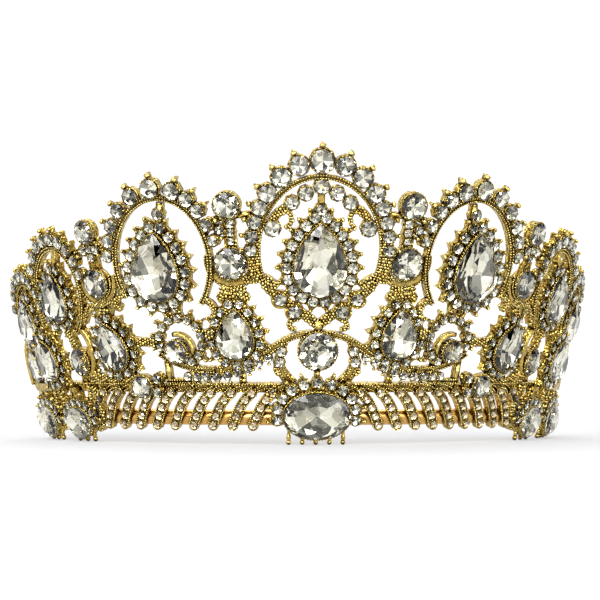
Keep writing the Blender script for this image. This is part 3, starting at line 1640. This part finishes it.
@dataclass
class RibbedBand:
    """The base band: slanted ribs with a row of stones each, leaves by the ovals, and the rail's beads.

    Each rib curls over the rail at its top, curl_back nearer to the front. rib_pitch, last_rib, rail_from,
    rail_to and rail_pitch are in degrees round the ring. rail_bead has the half widths of a rail's bead,
    and rail_bead_y its height over RAIL_Y.
    """

    rib_w: float = 2.6
    rib_pitch: float = 4.1
    rib_top: float = 2.5
    last_rib: float = 47.5
    rail_top: float = 1.42
    rail_from: float = 7.6
    rail_to: float = 75.0
    rail_pitch: float = 0.62
    rail_bead: tuple = (0.36, 0.3, 0.3)
    rail_bead_y: float = 0.95
    stone_w: float = 1.95
    stone_gap: float = 0.45
    cup_h: float = 0.42
    bead_r: float = 0.3
    bead_pitch: float = 0.56
    bead_inset: float = 0.1
    bead_z: float = 0.04
    curl_back: float = 4.9
    rib_path: tuple = ((3.1, 5.7), (1.8, 9), (0.6, 12.4), (-2.6, 14.8))
    curl_path: tuple = ((2.4, 14.5), (1.7, 15.4), (0.2, 16.1), (-2.2, 16.2))

    def dress(self, bench: Bench, metal: Piece, stones: Piece) -> None:
        """Adds the ribs' milgrain, cups and stones, the leaves' ridges and the rail's beads.

        Args:
            bench: The masters.
            metal: The piece that takes the metal.
            stones: The piece that takes the stones.
        """
        for angle in np.arange(2.5 * self.rib_pitch, self.last_rib, self.rib_pitch):
            self._rib(bench, metal, stones, angle)
        for angle in (self.last_rib + 0.6, (SIDE_ARCH_A + REAR_OVAL_A) / 2):
            self._leaf(bench, metal, angle)
        for angle in np.arange(self.rail_from, self.rail_to, self.rail_pitch):
            spot = WALL.place(angle, 0.0, RAIL_Y + self.rail_bead_y, self.rail_top)
            metal.add(bench.bead, sized(spot, *self.rail_bead))

    def _rib(self, bench: Bench, metal: Piece, stones: Piece, angle: float) -> None:
        """One rib with its stones and beaded edges, and its curl over the rail.

        Args:
            bench: The masters and finishes.
            metal: The piece that takes the metal.
            stones: The piece that takes the stones.
            angle: Degrees round the ring from the front.
        """
        path = bezier(*self.rib_path)
        r = self.stone_w / 2
        for p, _ in walk(path, self.stone_w + self.stone_gap, 0.3):
            seat = Seat(*p, self.stone_w)
            stones.add(bench.small, sized(WALL.place(angle, *p, self.rib_top + seat.girdle), r))
            spot = WALL.place(angle, *p, self.rib_top - SETTING.sink)
            metal.add(bench.cup, sized(spot, r, r, self.cup_h))
        for edge in beside(path, self.rib_w / 2 - self.bead_inset, self.bead_pitch):
            spot = WALL.place(angle, *edge, self.rib_top + self.bead_z)
            metal.add(bench.bead, sized(spot, self.bead_r))
        curl = Strip.curved(self.curl_path, 1.5, 1.1, Work.BEADED)
        middle = angle - math.degrees(self.curl_back / WALL.ring_r)
        Casting("curl", middle, strips=[curl], base=self.rail_top - PLATE_TOP).relief(bench, metal)

    def _leaf(self, bench: Bench, metal: Piece, angle: float) -> None:
        """A pair of ridged leaves.

        Args:
            bench: The masters and finishes.
            metal: The piece that takes the metal.
            angle: Degrees round the ring from the front.
        """
        leaves = [
            Strip.curved([(0.6, 4.6), (-2.6, 7), (-2.2, 12), (0.4, 16)], 2.2, 1),
            Strip.curved([(0.2, 5.4), (2.8, 8), (2.6, 12), (1.4, 16)], 1.8, 1),
        ]
        Casting("leaf", angle, strips=leaves, base=self.rib_top - PLATE_TOP).relief(bench, metal)


class Crown:
    """The whole crown."""

    def dress(self, bench: Bench) -> None:
        """Builds every piece of the crown.

        Args:
            bench: The masters and finishes.
        """
        self._frame(bench)
        self._castings(bench, centre_casting(), Half.RIGHT, "")
        band = RibbedBand()
        for half in Half:
            side = f"_{half.name.lower()}"
            parts = (front_post(), front_arch(), rail_round(), side_post(), side_arch(), rear_end())
            self._castings(bench, [casting for part in parts for casting in part], half, side)
            metal, stones = Piece(f"band_metal{side}", True, half), Piece(f"rib_stones{side}", False, half)
            band.dress(bench, metal, stones)
            metal.made("gold", bench.golds)
            stones.made("crystal", [bench.glass, *bench.warm_foils])

    @staticmethod
    def _frame(bench: Bench) -> None:
        """Finishes the metal that carries everything.

        Args:
            bench: The masters and finishes.
        """
        node = next(obj for obj in bpy.data.objects if obj.name.startswith("crown_frame"))
        for slot in node.material_slots:
            slot.material = bench.frame_gold

    @staticmethod
    def _castings(bench: Bench, castings: list[Casting], half: Half, side: str) -> None:
        """Dresses the castings of one half, or of the middle.

        Args:
            bench: The masters and finishes.
            castings: The castings.
            half: The half that they stand on. The middle is on the right.
            side: What the names of their nodes end in.
        """
        end = side or "_centre"
        relief, settings = Piece(f"relief{end}", True, half), Piece(f"settings{end}", True, half)
        loose = Piece(f"halo_stones{end}", False, half)
        rows: dict[str, Piece] = {}
        for casting in castings:
            casting.relief(bench, relief)
            casting.settings(bench, settings)
            halos = [(main.halo_field, main.halo()) for main in casting.mains]
            for name, seats in [*casting.fields.items(), ("", casting.loose), *halos]:
                node = name + side
                row = rows.setdefault(node, Piece(f"cut_{node}", False, half)) if name else loose
                casting.small_stones(bench, row, seats)
            for main in casting.mains:
                casting.stone(bench, main, half, side)
            LOG.info("%s casting dressed", casting.name)
        relief.made("gold", bench.golds)
        settings.made("gold", bench.golds)
        for node, row in rows.items():
            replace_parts(row.made("crystal", [bench.glass, *bench.foils]), node)
        if loose.count:
            loose.made("crystal", [bench.glass, *bench.foils])


# The studio


@dataclass(frozen=True)
class Lamp:
    """A soft rectangular light that looks at the crown."""

    name: str
    place: tuple
    size: tuple
    power: float

    def light(self, target: Vector) -> None:
        """Puts the lamp up.

        Args:
            target: The point that it looks at.
        """
        data = bpy.data.lights.new(self.name, "AREA")
        data.shape = "RECTANGLE"
        data.size, data.size_y = self.size
        data.energy = self.power
        lamp = bpy.data.objects.new(self.name, data)
        lamp.location = self.place
        lamp.rotation_euler = (target - lamp.location).to_track_quat("-Z", "Y").to_euler()
        bpy.context.scene.collection.objects.link(lamp)


@dataclass
class Studio:
    """Paper, lamps and camera, set as for the photograph. Distances are in metres.

    The paper is a square whose far edge is swept up by a quarter circle of radius sweep_r, and goes on
    upwards from there.
    """

    distance: float = 0.7
    height: float = 0.025
    azimuth: float = -4.68
    pitch: float = 1.12
    lens: float = 146.3
    sensor: float = 36.0
    shift_x: float = 0.012
    dark_sky: tuple = (0.012, 0.012, 0.012)
    pale_sky: tuple = (0.95, 0.97, 1.0)
    sky_strength: float = 1.12
    aim: tuple = (0.0, 0.0, 0.035)
    paper_size: float = 8.0
    paper_y: float = -2.0
    sweep_r: float = 0.9
    sweep_steps: int = 12
    rise: float = 3.0
    lamps: tuple = (
        Lamp("key", (-0.4, -0.6, 0.6), (0.5, 0.4), 4.8),
        Lamp("fill", (0.6, -0.5, 0.3), (0.3, 0.4), 1.2),
        Lamp("top", (0.0, 0.5, 0.8), (0.7, 0.3), 2.5),
        Lamp("rim", (-0.75, 0.4, 0.4), (0.3, 0.5), 1.0),
        Lamp("spark_left", (-0.3, -0.85, 0.3), (0.2, 0.2), 3.4),
        Lamp("spark_right", (0.35, -0.8, 0.5), (0.2, 0.2), 3.4),
        Lamp("spark_low", (0.1, -0.95, 0.12), (0.16, 0.16), 2.0),
    )

    def paper(self) -> None:
        """The floor, swept up behind the crown."""
        bpy.ops.object.select_all(action="DESELECT")
        bpy.ops.mesh.primitive_plane_add(size=self.paper_size, location=(0.0, self.paper_y, 0.0))
        floor = bpy.context.object
        floor.name = "studio_paper"
        points, far = floor.data.vertices, 0.49 * self.paper_size
        pick(floor, "EDGE", lambda edge: all(points[i].co.y > far for i in edge.vertices))
        turn = math.pi / 2 / self.sweep_steps
        moves = []
        for i in range(self.sweep_steps):
            t = (i + 0.5) * turn
            moves.append((0.0, self.sweep_r * turn * math.cos(t), self.sweep_r * turn * math.sin(t)))
        with editing(floor):
            for move in (*moves, (0.0, 0.0, self.rise)):
                bpy.ops.mesh.extrude_region_move(TRANSFORM_OT_translate={"value": move})
        for face in floor.data.polygons:
            face.use_smooth = True
        floor.data.materials.append(StudioPaper("white_paper").material())

    def light(self) -> None:
        """The sky, dark in patches and bright overhead, and the lamps."""
        graph = Graph(bpy.data.worlds.new("studio_sky"), "ShaderNodeOutputWorld")
        way = graph.node("ShaderNodeTexCoord", {}, {}, "Generated")
        sockets = {"Vector": way, "Scale": 2.6, "Detail": 1.0}
        panels = graph.node("ShaderNodeTexNoise", {}, sockets, "Fac")
        ceiling = graph.axis(2, way).clamped(0.45, 0.7)
        colour = graph.blend(panels.clamped(0.43, 0.51) + 0.5 * ceiling, self.dark_sky, self.pale_sky)
        ground = graph.node("ShaderNodeBackground", {}, {"Color": colour, "Strength": self.sky_strength})
        bpy.context.scene.world = graph.finish(ground)
        for lamp in self.lamps:
            lamp.light(Vector(self.aim))

    def camera(self) -> None:
        """The camera at the photograph's place."""
        data = bpy.data.cameras.new("camera")
        data.sensor_width = self.sensor
        data.lens = self.lens
        data.shift_x = self.shift_x
        data.clip_start = 0.01
        data.clip_end = 20.0
        camera = bpy.data.objects.new("camera", data)
        turn = math.radians(self.azimuth)
        away = SETBACK * MM - self.distance * math.cos(turn)
        camera.location = (self.distance * math.sin(turn), away, self.height)
        camera.rotation_euler = (math.radians(90.0 + self.pitch), 0.0, turn)
        bpy.context.scene.collection.objects.link(camera)
        bpy.context.scene.camera = camera

    def develop(self) -> None:
        """Plain colours, as a photograph of a product has."""
        view = bpy.context.scene.view_settings
        view.view_transform = "Standard"
        view.look = "None"


def main() -> None:
    """Loads the frame, dresses the crown and sets up the studio."""
    logging.basicConfig(level=logging.INFO, format="%(name)s: %(message)s")
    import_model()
    studio = Studio()
    studio.camera()
    studio.develop()
    bench = Bench.fitted()
    Crown().dress(bench)
    studio.paper()
    studio.light()
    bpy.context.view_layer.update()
    LOG.info("crown dressed")


if __name__ == "__main__":
    main()
